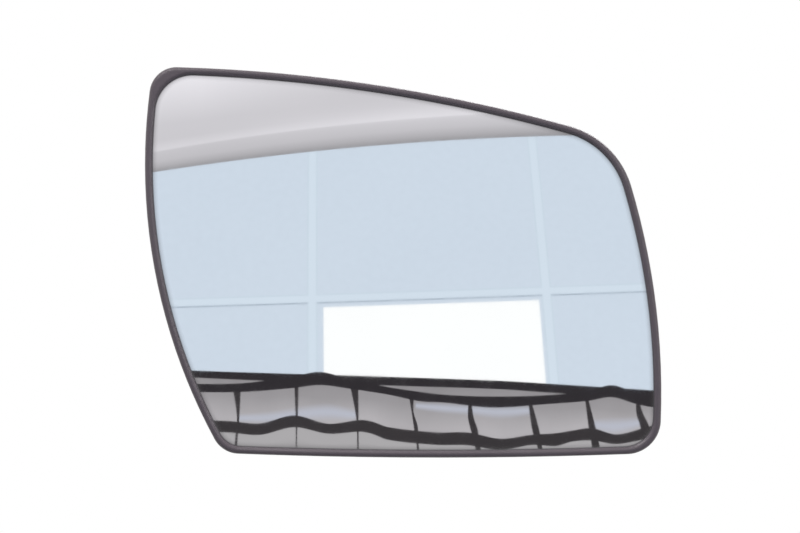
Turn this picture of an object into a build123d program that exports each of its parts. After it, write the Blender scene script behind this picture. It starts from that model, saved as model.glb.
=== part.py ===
"""Right-hand car door mirror glass: a convex mirror held in a moulded backing plate with a heater pad between.

The part stands as it does on the door: +Z up, the mirror facing -Y, the outboard side towards +X.
The origin is the centre of the actuator socket on the back, on the face that the actuator seats against.
"""

import os
from math import cos, radians, sin, sqrt

from build123d import *

# Outline of the rim seen from the front: four bowed sides between sharp corners, which are then rounded.
base_length = 167.2
inner_height = 148.0
inner_lean = 26.5
outer_height = 120.1
outer_lean = 16.7
top_bow = 6.3
outer_bow = 6.65
base_bow = 1.7
inner_bow = 13.15
inner_top_radius = 10.4
outer_top_radius = 33.9
outer_base_radius = 13.1
inner_base_radius = 10.7

# Opening in the rim that the mirror shows through: the sides lie one rim width inside the outline.
rim_width = 2.75
sight_inner_top_radius = 14.5
sight_outer_top_radius = 31.2
sight_outer_base_radius = 11.4
sight_inner_base_radius = 9.5

# Where the actuator's axis passes, from the inner end of the base line.
axis_along_base = 67.0
axis_above_base = 69.0

# Mirror: a cap of a sphere, bedded on the heater pad and trapped under the lip of the rim.
mirror_curve_radius = 1300.0
mirror_thickness = 2.0
mirror_arris = 0.3
lip_overlap = 0.75
mirror_edge_gap = 0.2

# Heater pad: a film on a bed of adhesive. The adhesive is cut away round each eyelet's clinched end.
pad_thickness = 0.8
pad_film_thickness = 0.3
pad_margin = 3.0

# Backing plate: floor, rim, lip over the mirror's edge, and a skirt behind.
floor_thickness = 2.0
lip_height = 1.1
lip_slope_width = 1.0
lip_slope_depth = 0.75
rim_bevel_front = 0.6
rim_bevel_side = 1.5
rim_bevel_break = 0.45
skirt_depth = 3.0
skirt_wall = 1.7
skirt_chamfer = 0.5

# Socket that locates the actuator's spigot. Its rear end is the seat for the actuator's flange.
socket_radius = 24.0
socket_wall = 2.2
socket_depth = 9.4

# Snap hooks round the socket, which hold the actuator's flange down on the seat.
clip_count = 8
flange_radius = 32.0
flange_thickness = 3.0
flange_clearance = 0.3
hook_width = 8.0
hook_tip_thickness = 1.8
hook_root_thickness = 2.6
barb_depth = 1.4
barb_height = 2.6
barb_land = 0.6
hook_window_gap = 0.6

# Ribs on the back: spokes between the hooks, a buttress on each spoke, a ring round the hooks, and a belt
# that follows the outline.
rib_thickness = 1.6
rib_height = 2.6
buttress_thickness = 1.2
buttress_length = 9.0
buttress_drop = 1.5
hub_gap = 4.5
belt_inset = 19.0
belt_corner_radius = 14.0

# Heater terminals: two folded blades, riveted by their feet to the film, that stand up through the floor.
terminal_offset = 55.0
terminal_spacing = 20.0
blade_width = 6.3
blade_thickness = 0.8
blade_height = 10.0
blade_tip_chamfer = 1.2
blade_hole_radius = 0.8
blade_hole_from_tip = 3.6
bend_radius = 0.6
foot_margin = 1.0
foot_clearance = 0.02
terminal_window_gap = 1.2

# Eyelets that rivet each terminal's foot to the heater film.
eyelet_radius = 1.5
eyelet_wall = 0.4
eyelet_hole_gap = 0.1
eyelet_head_radius = 2.5
eyelet_head_thickness = 0.3
clinch_radius = 2.3
clinch_thickness = 0.25
clinch_gap = 0.3

# How far cutting tools run past what they cut.
overrun = 1.0

# Concentric spheres of the laminate, from the front of the lip to the end of the skirt.
lip_front_radius = mirror_curve_radius + lip_height
mirror_back_radius = mirror_curve_radius - mirror_thickness
seat_radius = mirror_back_radius - pad_thickness
floor_back_radius = seat_radius - floor_thickness
skirt_end_radius = floor_back_radius - skirt_depth
floor_middle_radius = (seat_radius + floor_back_radius) / 2
mirror_apex = -(socket_depth + floor_thickness + pad_thickness + mirror_thickness)
dome_centre = (0, mirror_apex + mirror_curve_radius, 0)

# Sharp corners of the outline, about the actuator's axis.
inner_base = (-axis_along_base, -axis_above_base)
outer_base = (base_length - axis_along_base, -axis_above_base)
outer_top = (outer_base[0] - outer_lean, outer_height - axis_above_base)
inner_top = (inner_base[0] - inner_lean, inner_height - axis_above_base)
sharp_corners = [inner_top, outer_top, outer_base, inner_base]
rim_radii = [inner_top_radius, outer_top_radius, outer_base_radius, inner_base_radius]
sight_radii = [
    sight_inner_top_radius,
    sight_outer_top_radius,
    sight_outer_base_radius,
    sight_inner_base_radius,
]

# Places on the back, in the front view.
clip_step = 360 / clip_count
socket_outer_radius = socket_radius + socket_wall
root_level = -(socket_depth + floor_thickness / 2)
hook_face_radius = flange_radius + flange_clearance
catch_level = flange_thickness + flange_clearance
barb_tip_radius = flange_radius - barb_depth
hub_radius = hook_face_radius + hook_root_thickness + hub_gap
foot_start = -(eyelet_head_radius + foot_margin)
blade_inner_face = eyelet_head_radius + foot_margin
blade_outer_face = blade_inner_face + blade_thickness
foot_top = foot_clearance + blade_thickness
terminal_places = {
    "terminal_upper": (-terminal_offset, terminal_spacing / 2),
    "terminal_lower": (-terminal_offset, -terminal_spacing / 2),
}

# Half the length of the straight prisms that the spheres cut to shape.
prism_reach = 4 * (socket_depth + catch_level + barb_height)
from_left = (Align.MIN, Align.CENTER)
os.makedirs("parts", exist_ok=True)


def outline(inset, corner_radii):
    """Four bowed sides set in from the rim's outline, with rounded corners, as the front view shows them."""
    with BuildSketch() as face:
        with BuildLine():
            SagittaArc(inner_top, outer_top, top_bow)
            SagittaArc(outer_top, outer_base, outer_bow)
            SagittaArc(outer_base, inner_base, base_bow)
            SagittaArc(inner_base, inner_top, inner_bow)
        make_face()
        if inset:
            offset(amount=-inset, kind=Kind.INTERSECTION, mode=Mode.REPLACE)
        for corner, radius in zip(sharp_corners, corner_radii):
            fillet(face.vertices().sort_by_distance(corner)[0], radius)
    return face.sketch


def rim_outline(inset=0.0):
    """The rim's outline, set in by a wall."""
    return outline(inset, [radius - inset for radius in rim_radii])


def sight_outline(grow=0.0):
    """The opening in front of the mirror, grown outwards or, where negative, inwards."""
    return outline(rim_width - grow, [radius + grow for radius in sight_radii])


def belt_outline(inset=0.0):
    """The outer edge of the belt rib, or its inner edge where it is set in by the rib's thickness."""
    return outline(belt_inset + inset, [belt_corner_radius - inset] * len(sharp_corners))


def dome_layer(profile, front_radius, rear_radius):
    """What lies between two of the spheres, inside a profile of the front view."""
    with BuildPart() as layer:
        with BuildSketch(Plane.XZ):
            add(profile)
        extrude(amount=prism_reach, both=True)
        with Locations(dome_centre):
            Sphere(front_radius, mode=Mode.INTERSECT)
            Sphere(rear_radius, mode=Mode.SUBTRACT)
    return layer.part


def radial_plane(angle):
    """A plane through the actuator's axis: local x runs outwards, local y to the rear."""
    outwards = (cos(radians(angle)), 0, sin(radians(angle)))
    return Plane(origin=(0, 0, 0), x_dir=outwards, z_dir=(-outwards[2], 0, outwards[0]))


def foot_plane(x, z):
    """The plane that touches the pad's back at x, z: local x runs outboard, local z to the rear."""
    foot = Vector(x, dome_centre[1] - sqrt(seat_radius**2 - x**2 - z**2), z)
    rearwards = (Vector(*dome_centre) - foot).normalized()
    upwards = rearwards.cross(Vector(1, 0, 0)).normalized()
    return Plane(origin=foot, x_dir=upwards.cross(rearwards), z_dir=rearwards)


def side_plane(x, z):
    """The plane that cuts a terminal along its middle: local x runs outboard, local y to the rear."""
    foot = foot_plane(x, z)
    return Plane(origin=foot.origin, x_dir=foot.x_dir, z_dir=-foot.y_dir)


def front_face(builder):
    """The foremost spherical face of what has been built so far."""
    return builder.faces().filter_by(GeomType.SPHERE).sort_by(Axis.Y)[0]


# Mirror glass, with its sharp edges ground off
with BuildPart() as mirror_glass:
    add(dome_layer(sight_outline(lip_overlap), mirror_curve_radius, mirror_back_radius))
    chamfer(mirror_glass.faces().filter_by(GeomType.SPHERE).edges(), mirror_arris)

mirror_glass.part.label = "mirror_glass"
export_step(mirror_glass.part, "parts/mirror_glass.step")

# Heater pad, with a stepped hole for each eyelet
with BuildPart() as heater_pad:
    add(dome_layer(sight_outline(-pad_margin), mirror_back_radius, seat_radius))
    for place in terminal_places.values():
        with BuildSketch(foot_plane(*place).offset(overrun)):
            Circle(eyelet_radius + eyelet_hole_gap)
        extrude(amount=-(pad_thickness + 2 * overrun), mode=Mode.SUBTRACT)
        with BuildSketch(foot_plane(*place).offset(-pad_film_thickness)):
            Circle(clinch_radius + clinch_gap)
        extrude(amount=-(pad_thickness + overrun), mode=Mode.SUBTRACT)

heater_pad.part.label = "heater_pad"
export_step(heater_pad.part, "parts/heater_pad.step")

# Windows in the floor: one under each barb, for the core that moulds it, and one round each terminal
with BuildSketch() as floor_windows:
    with PolarLocations(0, clip_count, start_angle=clip_step / 2):
        with Locations((barb_tip_radius - hook_window_gap, 0)):
            Rectangle(hook_face_radius - barb_tip_radius + hook_window_gap, hook_width, align=from_left)
    with Locations(*terminal_places.values()):
        with Locations((foot_start - terminal_window_gap, 0)):
            Rectangle(
                blade_outer_face - foot_start + 2 * terminal_window_gap,
                blade_width + 2 * terminal_window_gap,
                align=from_left,
            )

# Belt rib, a band that follows the outline
with BuildSketch() as belt_band:
    add(belt_outline())
    add(belt_outline(rib_thickness), mode=Mode.SUBTRACT)

# Hub rib, a ring round the hooks
with BuildSketch() as hub_ring:
    Circle(hub_radius + rib_thickness)
    Circle(hub_radius, mode=Mode.SUBTRACT)

# Spokes from the socket to the skirt, with the ring and the belt
with BuildSketch() as rib_layout:
    with PolarLocations(0, clip_count):
        Rectangle(base_length, rib_thickness, align=from_left)
    add(rim_outline(skirt_wall / 2), mode=Mode.INTERSECT)
    add(hub_ring.sketch)
    add(belt_band.sketch)
    Circle(socket_radius + socket_wall / 2, mode=Mode.SUBTRACT)

# Socket ring, snap hooks and the buttresses between them, rooted in the middle of the floor
with BuildPart() as socket_group:
    with BuildSketch(Plane.XZ):
        Circle(socket_outer_radius)
        Circle(socket_radius, mode=Mode.SUBTRACT)
    extrude(amount=-root_level)
    for i in range(clip_count):
        with BuildSketch(radial_plane(clip_step * (i + 0.5))):
            with BuildLine():
                Polyline(
                    (hook_face_radius, root_level),
                    (hook_face_radius, catch_level),
                    (barb_tip_radius, catch_level),
                    (barb_tip_radius, catch_level + barb_land),
                    (hook_face_radius, catch_level + barb_height),
                    (hook_face_radius + hook_tip_thickness, catch_level + barb_height),
                    (hook_face_radius + hook_root_thickness, root_level),
                    close=True,
                )
            make_face()
        extrude(amount=hook_width / 2, both=True)
        with BuildSketch(radial_plane(clip_step * i)):
            with BuildLine():
                Polyline(
                    (socket_radius + socket_wall / 2, root_level),
                    (socket_radius + socket_wall / 2, -buttress_drop),
                    (socket_outer_radius, -buttress_drop),
                    (socket_outer_radius + buttress_length, root_level),
                    close=True,
                )
            make_face()
        extrude(amount=buttress_thickness / 2, both=True)

# Backing plate: a bevelled slab, hollowed in front for the mirror and behind for the skirt
with BuildPart() as backing_plate:
    add(dome_layer(rim_outline(), lip_front_radius, skirt_end_radius))
    rim_face = front_face(backing_plate)
    chamfer(rim_face.edges(), rim_bevel_front, rim_bevel_side, reference=rim_face)
    chamfer(front_face(backing_plate).edges(), rim_bevel_break)
    chamfer(backing_plate.faces().filter_by(GeomType.SPHERE).sort_by(Axis.Y)[-1].edges(), skirt_chamfer)
    add(
        dome_layer(sight_outline(lip_overlap + mirror_edge_gap), mirror_curve_radius, seat_radius),
        mode=Mode.SUBTRACT,
    )
    add(dome_layer(sight_outline(), lip_front_radius + overrun, mirror_back_radius), mode=Mode.SUBTRACT)
    lip_face = front_face(backing_plate)
    chamfer(lip_face.inner_wires()[0].edges(), lip_slope_width, lip_slope_depth, reference=lip_face)
    add(
        dome_layer(rim_outline(skirt_wall), floor_back_radius, skirt_end_radius - overrun),
        mode=Mode.SUBTRACT,
    )

    # Windows through the floor, then what stands on its back
    add(
        dome_layer(floor_windows.sketch, mirror_back_radius, floor_back_radius - overrun),
        mode=Mode.SUBTRACT,
    )
    add(dome_layer(rib_layout.sketch, floor_middle_radius, floor_back_radius - rib_height))
    add(socket_group.part)

backing_plate.part.label = "backing_plate"
export_step(backing_plate.part, "parts/backing_plate.step")

# Heater terminals: a foot on the film, a bend, and a blade with a chamfered tip and a detent hole
for name, place in terminal_places.items():
    foot = foot_plane(*place)
    with BuildPart() as terminal:
        with BuildSketch(side_plane(*place)) as strip:
            with BuildLine():
                Polyline(
                    (foot_start, foot_clearance),
                    (blade_outer_face, foot_clearance),
                    (blade_outer_face, blade_height),
                    (blade_inner_face, blade_height),
                    (blade_inner_face, foot_top),
                    (foot_start, foot_top),
                    close=True,
                )
            make_face()
            bend_outer = strip.vertices().sort_by_distance((blade_outer_face, foot_clearance))[0]
            fillet(bend_outer, bend_radius + blade_thickness)
            bend_inner = strip.vertices().sort_by_distance((blade_inner_face, foot_top))[0]
            fillet(bend_inner, bend_radius)
        extrude(amount=blade_width / 2, both=True)
        tip_edges = terminal.edges().filter_by(Axis(foot.origin, foot.x_dir))
        chamfer(tip_edges.group_by(Axis(foot.origin, foot.z_dir))[-1], blade_tip_chamfer)
        with BuildSketch(foot):
            Circle(eyelet_radius + eyelet_hole_gap)
        extrude(amount=foot_top + overrun, mode=Mode.SUBTRACT)
        with BuildSketch(Plane(origin=foot.origin, x_dir=foot.z_dir, z_dir=foot.x_dir)):
            with Locations((blade_height - blade_hole_from_tip, 0)):
                Circle(blade_hole_radius)
        extrude(amount=blade_outer_face + overrun, mode=Mode.SUBTRACT)

    terminal.part.label = name
    export_step(terminal.part, f"parts/{name}.step")

# Eyelets: a head behind each foot, a tube through foot and film, and a clinched end in front of the film
with BuildPart() as terminal_eyelets:
    for place in terminal_places.values():
        foot = foot_plane(*place)
        with BuildSketch(side_plane(*place)):
            with BuildLine():
                Polyline(
                    (eyelet_radius - eyelet_wall, -pad_film_thickness - clinch_thickness),
                    (clinch_radius, -pad_film_thickness - clinch_thickness),
                    (clinch_radius, -pad_film_thickness),
                    (eyelet_radius, -pad_film_thickness),
                    (eyelet_radius, foot_top),
                    (eyelet_head_radius, foot_top),
                    (eyelet_head_radius, foot_top + eyelet_head_thickness),
                    (eyelet_radius - eyelet_wall, foot_top + eyelet_head_thickness),
                    close=True,
                )
            make_face()
        revolve(axis=Axis(foot.origin, foot.z_dir))

terminal_eyelets.part.label = "terminal_eyelets"
export_step(terminal_eyelets.part, "parts/terminal_eyelets.step")
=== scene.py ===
"""Looks of a convex car door mirror glass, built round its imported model.

The mirror is modelled again as a finely divided cap of its sphere, so that it reflects cleanly. The backing
plate, heater film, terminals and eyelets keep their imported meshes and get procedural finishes, and the plate
gets the marks that its mould leaves. A small studio stands round the part: a pale floor, soft lamps, and
cards that only reflections show. All lengths are in metres unless a name says millimetres.
"""

import logging
import math
from collections.abc import Callable, Iterator, Sequence
from contextlib import contextmanager
from dataclasses import dataclass, field
from enum import Enum
from typing import Any, Generic, TypeVar

import bmesh
import bpy
from mathutils import Matrix, Vector

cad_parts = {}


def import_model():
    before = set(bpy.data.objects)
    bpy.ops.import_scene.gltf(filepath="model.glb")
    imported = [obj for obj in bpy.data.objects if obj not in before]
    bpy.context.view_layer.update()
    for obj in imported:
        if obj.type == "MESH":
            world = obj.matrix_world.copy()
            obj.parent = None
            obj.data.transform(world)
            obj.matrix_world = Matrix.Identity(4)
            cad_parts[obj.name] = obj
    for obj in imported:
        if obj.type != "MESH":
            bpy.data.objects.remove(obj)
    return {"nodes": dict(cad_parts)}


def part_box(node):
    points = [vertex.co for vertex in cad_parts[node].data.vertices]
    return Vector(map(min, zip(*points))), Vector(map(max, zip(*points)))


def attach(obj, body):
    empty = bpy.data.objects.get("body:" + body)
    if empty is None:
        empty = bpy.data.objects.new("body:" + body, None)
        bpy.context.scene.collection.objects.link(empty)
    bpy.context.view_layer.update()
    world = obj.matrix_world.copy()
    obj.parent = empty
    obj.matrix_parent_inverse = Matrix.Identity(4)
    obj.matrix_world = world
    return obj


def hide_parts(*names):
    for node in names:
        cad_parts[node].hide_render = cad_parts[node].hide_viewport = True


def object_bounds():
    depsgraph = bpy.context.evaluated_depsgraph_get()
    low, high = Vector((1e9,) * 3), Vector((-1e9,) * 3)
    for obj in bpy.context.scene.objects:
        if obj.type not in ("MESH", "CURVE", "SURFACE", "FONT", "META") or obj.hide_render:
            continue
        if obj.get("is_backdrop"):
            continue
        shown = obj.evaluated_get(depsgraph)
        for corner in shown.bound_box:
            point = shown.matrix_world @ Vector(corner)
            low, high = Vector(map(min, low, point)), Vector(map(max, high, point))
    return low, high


LOG = logging.getLogger("door_mirror")
BODY = "root"
MILLIMETRE = 0.001

NOISE_MIDDLE = (0.3, 0.7)
ORIGIN = (0.0, 0.0, 0.0)
EVEN = (1.0, 1.0, 1.0)
BLACK = (0.0, 0.0, 0.0)
WHITE = (1.0, 1.0, 1.0)

# A colour in linear light, a point or scale in space, a knot of a strip, a place in the glass, the two ends
# of a range, and a place along a card with the level of its tone there.
Colour = tuple[float, float, float]
Triple = tuple[float, float, float]
Knot = tuple[float, float, float]
Place = tuple[float, float]
Span = tuple[float, float]
Level = tuple[float, float]
Socket = bpy.types.NodeSocket
Owner = TypeVar("Owner", bpy.types.Material, bpy.types.World)


class Slot(Enum):
    """The record's material slots for the mirror and the moulded plastic."""

    MIRROR = "mirror"
    PLASTIC = "moulded_plastic"


class Run(Enum):
    """Which way a strip runs in the picture."""

    ACROSS = "across"
    UPRIGHT = "upright"


class Detail(Enum):
    """How many finer layers a noise has."""

    PLAIN = 2.0
    SOFT = 3.0
    FINE = 4.0
    FINEST = 5.0


class WallPart(Enum):
    """The parts of the panel wall, by the number of their material slot."""

    BAR = 0
    LINE = 1
    # A faint darker ring round each panel: painted shade beside the bars.
    PANEL = 2
    SHADOW_LINE = 3
    LIT_PANEL = 4


class Layer(Enum):
    """The layers of the cloth grid, counted from the one next to the mirror."""

    BAND = 0
    CROSS = 1
    SHEEN = 2
    CELL = 3


def take_up(piece: bpy.types.Object) -> None:
    """Make a piece the only selected object, and the active one.

    Args:
        piece: The object.
    """
    bpy.ops.object.select_all(action="DESELECT")
    piece.select_set(True)
    bpy.context.view_layer.objects.active = piece


@contextmanager
def editing(piece: bpy.types.Object) -> Iterator[None]:
    """Hold a piece in edit mode for as long as the block runs.

    Args:
        piece: The mesh object.

    Yields:
        Nothing.
    """
    take_up(piece)
    bpy.ops.object.mode_set(mode="EDIT")
    yield
    bpy.ops.object.mode_set(mode="OBJECT")


def pick_faces(piece: bpy.types.Object, wanted: Callable[[bmesh.types.BMFace], bool]) -> None:
    """Select faces of a piece that is in edit mode.

    Args:
        piece: The mesh object in edit mode.
        wanted: Says of a face whether it is selected.
    """
    bpy.ops.mesh.select_mode(type="FACE")
    mesh = bmesh.from_edit_mesh(piece.data)
    for face in mesh.faces:
        face.select_set(wanted(face))
    bmesh.update_edit_mesh(piece.data)


def pick_open_edges(piece: bpy.types.Object, wanted: Callable[[Vector], bool]) -> None:
    """Select the open edges of a piece in edit mode whose middle is wanted.

    Args:
        piece: The mesh object in edit mode.
        wanted: Says of an edge's middle whether the edge is selected.
    """
    bpy.ops.mesh.select_mode(type="EDGE")
    bpy.ops.mesh.select_all(action="DESELECT")
    mesh = bmesh.from_edit_mesh(piece.data)
    for edge in mesh.edges:
        middle = (edge.verts[0].co + edge.verts[1].co) / 2
        edge.select_set(edge.is_boundary and wanted(middle))
    bmesh.update_edit_mesh(piece.data)


def paint_picked(piece: bpy.types.Object, slot: int) -> None:
    """Give the selected faces of a piece in edit mode one of its material slots.

    Args:
        piece: The mesh object in edit mode.
        slot: The slot's number.
    """
    mesh = bmesh.from_edit_mesh(piece.data)
    for face in mesh.faces:
        if face.select:
            face.material_index = slot
    bmesh.update_edit_mesh(piece.data)


def shape_with(piece: bpy.types.Object, kind: str, **settings: Any) -> None:
    """Add a modifier to a piece, set it and apply it.

    Args:
        piece: The object that is shaped.
        kind: The modifier's type.
        **settings: Its properties.
    """
    take_up(piece)
    modifier = piece.modifiers.new(kind.lower(), kind)
    for name, value in settings.items():
        setattr(modifier, name, value)
    bpy.ops.object.modifier_apply(modifier=modifier.name)


def settle(piece: bpy.types.Object) -> None:
    """Put a piece's place, turn and scale into its mesh."""
    take_up(piece)
    bpy.ops.object.transform_apply(location=True, rotation=True, scale=True)


def dress(piece: bpy.types.Object, finish: bpy.types.Material) -> None:
    """Give a piece one finish in place of those that it had."""
    piece.data.materials.clear()
    piece.data.materials.append(finish)


def unit_grid(name: str, columns: int, rows: int) -> bpy.types.Object:
    """Add a square grid, one unit wide, about the origin of the XY plane.

    Args:
        name: The new object's name.
        columns: Cells along X.
        rows: Cells along Y.

    Returns:
        The grid.
    """
    bpy.ops.object.select_all(action="DESELECT")
    bpy.ops.mesh.primitive_grid_add(x_subdivisions=columns, y_subdivisions=rows, size=1.0)
    grid = bpy.context.active_object
    grid.name = name
    return grid


def bent_grid(name: str, columns: int, rows: int, lay: Callable[[float, float], Vector]) -> bpy.types.Object:
    """Add a grid and lay each of its corners where a function says.

    Args:
        name: The new object's name.
        columns: Cells along the grid.
        rows: Cells across it.
        lay: Gives the place of a corner from its share of the way along and across.

    Returns:
        The laid grid.
    """
    grid = unit_grid(name, columns, rows)
    for vertex in grid.data.vertices:
        vertex.co = lay(vertex.co.x + 0.5, vertex.co.y + 0.5)
    return grid


def smooth_through(knots: Sequence[tuple[float, ...]], along: float) -> list[float]:
    """Read a smooth line through knots at one place.

    Args:
        knots: Each knot's place along the line, then the values it has there.
        along: The place that is asked for.

    Returns:
        The values there.
    """
    last = len(knots) - 1
    at = max(i for i in range(last) if i == 0 or knots[i][0] <= along)
    start, end = knots[at], knots[at + 1]
    before, after = knots[max(at - 1, 0)], knots[min(at + 2, last)]
    span = end[0] - start[0]
    t = (along - start[0]) / span
    values = []
    for i in range(1, len(start)):
        lead = span * (end[i] - before[i]) / (end[0] - before[0])
        tail = span * (after[i] - start[i]) / (after[0] - start[0])
        rise = end[i] - start[i]
        curl = 3 * rise - 2 * lead - tail
        twist = lead + tail - 2 * rise
        values.append(start[i] + t * (lead + t * (curl + t * twist)))
    return values


class Board(Generic[Owner]):
    """The node tree of a material or a world, with short calls that add and join nodes."""

    def __init__(self, owner: Owner) -> None:
        """Empty the node tree of a new material or world.

        Args:
            owner: The material or world.
        """
        owner.use_nodes = True
        self.owner = owner
        self.tree = owner.node_tree
        self.tree.nodes.clear()

    def node(self, kind: str, inputs: dict[str | int, Any] | None = None, **settings: Any) -> bpy.types.Node:
        """Add a node.

        Args:
            kind: The node's type, without its prefix.
            inputs: Values for its inputs. A socket is linked, and anything else is set.
            **settings: The node's own properties.

        Returns:
            The new node.
        """
        made = self.tree.nodes.new(f"ShaderNode{kind}")
        for name, value in settings.items():
            setattr(made, name, value)
        for name, value in (inputs or {}).items():
            if isinstance(value, Socket):
                self.tree.links.new(value, made.inputs[name])
            else:
                made.inputs[name].default_value = value
        return made

    def coordinates(self, kind: str = "Object") -> Socket:
        """Texture coordinates of the piece."""
        return self.node("TexCoord").outputs[kind]

    def noise(self, grain: float, detail: Detail = Detail.PLAIN, squeeze: Triple = EVEN) -> Socket:
        """Noise fixed to the piece.

        Args:
            grain: The size of its grain.
            detail: How many finer layers it has.
            squeeze: How the grain is squeezed along each axis: below 1 it is drawn out.

        Returns:
            Its value, about 0.5 on average.
        """
        place = self.node("Mapping", {"Vector": self.coordinates(), "Scale": squeeze})
        inputs = {"Vector": place.outputs["Vector"], "Scale": 1.0 / grain, "Detail": detail.value}
        return self.node("TexNoise", inputs).outputs["Fac"]

    def math(self, operation: str, *values: Any) -> Socket:
        """Work out a value from others, each a socket or a number."""
        return self.node("Math", dict(enumerate(values)), operation=operation).outputs["Value"]

    def fit(self, value: Socket, start: Span, end: Sequence[Any] = (0, 1), way: str = "LINEAR") -> Socket:
        """Map a value from one range on to another, and hold it within that.

        Args:
            value: The value.
            start: The range that it comes from.
            end: The range that it goes to, each end a socket or a number.
            way: How it goes from end to end.

        Returns:
            The mapped value.
        """
        inputs = {"Value": value, "From Min": start[0], "From Max": start[1]}
        inputs.update({"To Min": end[0], "To Max": end[1]})
        return self.node("MapRange", inputs, interpolation_type=way).outputs["Result"]

    def spread(self, value: Socket, low: float, high: float) -> Socket:
        """Map the middle of a noise on to a range."""
        return self.fit(value, NOISE_MIDDLE, (low, high))

    def cloud(self, grain: float, detail: Detail, squeeze: Triple = EVEN) -> Socket:
        """Noise fixed to the piece, from 0 to 1."""
        return self.spread(self.noise(grain, detail, squeeze), 0.0, 1.0)

    def seen(self) -> Socket:
        """Tell sight from light.

        Returns:
            1 for sight, straight, mirrored or through glass, and 0 for light that falls on other things.
        """
        paths = self.node("LightPath").outputs
        straight = self.math("MAXIMUM", paths["Is Camera Ray"], paths["Is Glossy Ray"])
        return self.math("MAXIMUM", straight, paths["Is Transmission Ray"])

    def mix(self, share: Socket, first: bpy.types.Node, second: bpy.types.Node) -> bpy.types.Node:
        """Mix two shaders."""
        return self.node("MixShader", {"Fac": share, 1: first.outputs[0], 2: second.outputs[0]})

    def ramp(self, value: Socket, stops: Sequence[tuple[float, Colour]], way: str = "LINEAR") -> Socket:
        """Read a colour from a row of stops.

        Args:
            value: Where along the row to read.
            stops: Places from 0 to 1, with the colour at each.
            way: How it goes from stop to stop.

        Returns:
            The colour.
        """
        made = self.node("ValToRGB", {"Fac": value})
        made.color_ramp.interpolation = way
        points = made.color_ramp.elements
        points.remove(points[1])
        for _ in stops[1:]:
            points.new(1.0)
        for point, (place, colour) in zip(points, stops):
            point.position = place
            point.color = (*colour, 1.0)
        return made.outputs["Color"]

    def blend(self, share: Socket, first: Any, second: Any) -> Socket:
        """Mix two colours.

        Args:
            share: The second one's share.
            first: A socket or a colour.
            second: Likewise.

        Returns:
            The mixed colour.
        """
        made = self.node("Mix", {"Factor": share}, data_type="RGBA")
        for name, colour in (("A_Color", first), ("B_Color", second)):
            socket = next(one for one in made.inputs if one.identifier == name)
            if isinstance(colour, Socket):
                self.tree.links.new(colour, socket)
            else:
                socket.default_value = (*colour, 1.0)
        return next(one for one in made.outputs if one.identifier == "Result_Color")

    def finish(self, shader: bpy.types.Node) -> Owner:
        """Join a shader to the output.

        Args:
            shader: The last node.

        Returns:
            The material or world.
        """
        kind = "OutputWorld" if isinstance(self.owner, bpy.types.World) else "OutputMaterial"
        self.node(kind, {"Surface": shader.outputs[0]})
        return self.owner

    def principled(self, inputs: dict[str, Any]) -> Owner:
        """Finish with one principled shader that has these inputs."""
        return self.finish(self.node("BsdfPrincipled", inputs))


MaterialBoard = Board[bpy.types.Material]


def new_board(name: str) -> MaterialBoard:
    """Start a material of that name."""
    return Board(bpy.data.materials.new(name))


@dataclass(frozen=True)
class MouldedPlastic:
    """Satin, dark warm grey plastic, spark-grained, with soft moulded edges painted lighter as a highlight,
    and faint flow marks.

    The rim, which lies outside a sphere about the plate's centre, is rounder than the ribs and hooks.
    """

    tone: Colour = (0.078, 0.061, 0.074)
    flow_tone: Colour = (0.092, 0.073, 0.087)
    edge_highlight_tone: Colour = (0.103, 0.084, 0.097)
    shine_low: float = 0.40
    shine_high: float = 0.54
    ior: float = 1.49
    grain: float = 0.00045
    grain_depth: float = 0.000018
    shine_grain: float = 0.0018
    flow_grain: float = 0.018
    flow_squeeze: Triple = (1.0, 1.0, 0.35)
    edge_round: float = 0.0004
    edge_highlight_turn: Span = (0.995, 0.85)
    edge_samples: int = 8
    rim_round: float = 0.0012
    rim_reach: Span = (1.2982, 1.2998)

    def material(self, centre: Vector) -> bpy.types.Material:
        """Make the finish.

        Args:
            centre: Centre of the spheres that the plate follows.

        Returns:
            The finish.
        """
        board = new_board("satin_moulded_plastic")
        reach = board.node("VectorMath", {0: board.coordinates(), 1: centre}, operation="DISTANCE")
        radius = board.fit(reach.outputs["Value"], self.rim_reach, (self.edge_round, self.rim_round))
        soft = board.node("Bevel", {"Radius": radius}, samples=self.edge_samples).outputs["Normal"]
        face = board.node("NewGeometry").outputs["Normal"]
        turn = board.node("VectorMath", {0: soft, 1: face}, operation="DOT_PRODUCT").outputs["Value"]
        # Painted highlight: the tone is lighter along the edges, where the rounded normal turns away from the
        # face.
        edge = board.fit(turn, self.edge_highlight_turn)
        flow = board.cloud(self.flow_grain, Detail.SOFT, self.flow_squeeze)
        tone = board.blend(edge, board.blend(flow, self.tone, self.flow_tone), self.edge_highlight_tone)
        grain = board.noise(self.grain, Detail.SOFT)
        bump = board.node("Bump", {"Height": grain, "Distance": self.grain_depth, "Normal": soft})
        shine = board.noise(self.shine_grain, Detail.FINE)
        return board.principled(
            {
                "Base Color": tone,
                "Roughness": board.spread(shine, self.shine_low, self.shine_high),
                "Normal": bump.outputs["Normal"],
                "IOR": self.ior,
            }
        )


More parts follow.
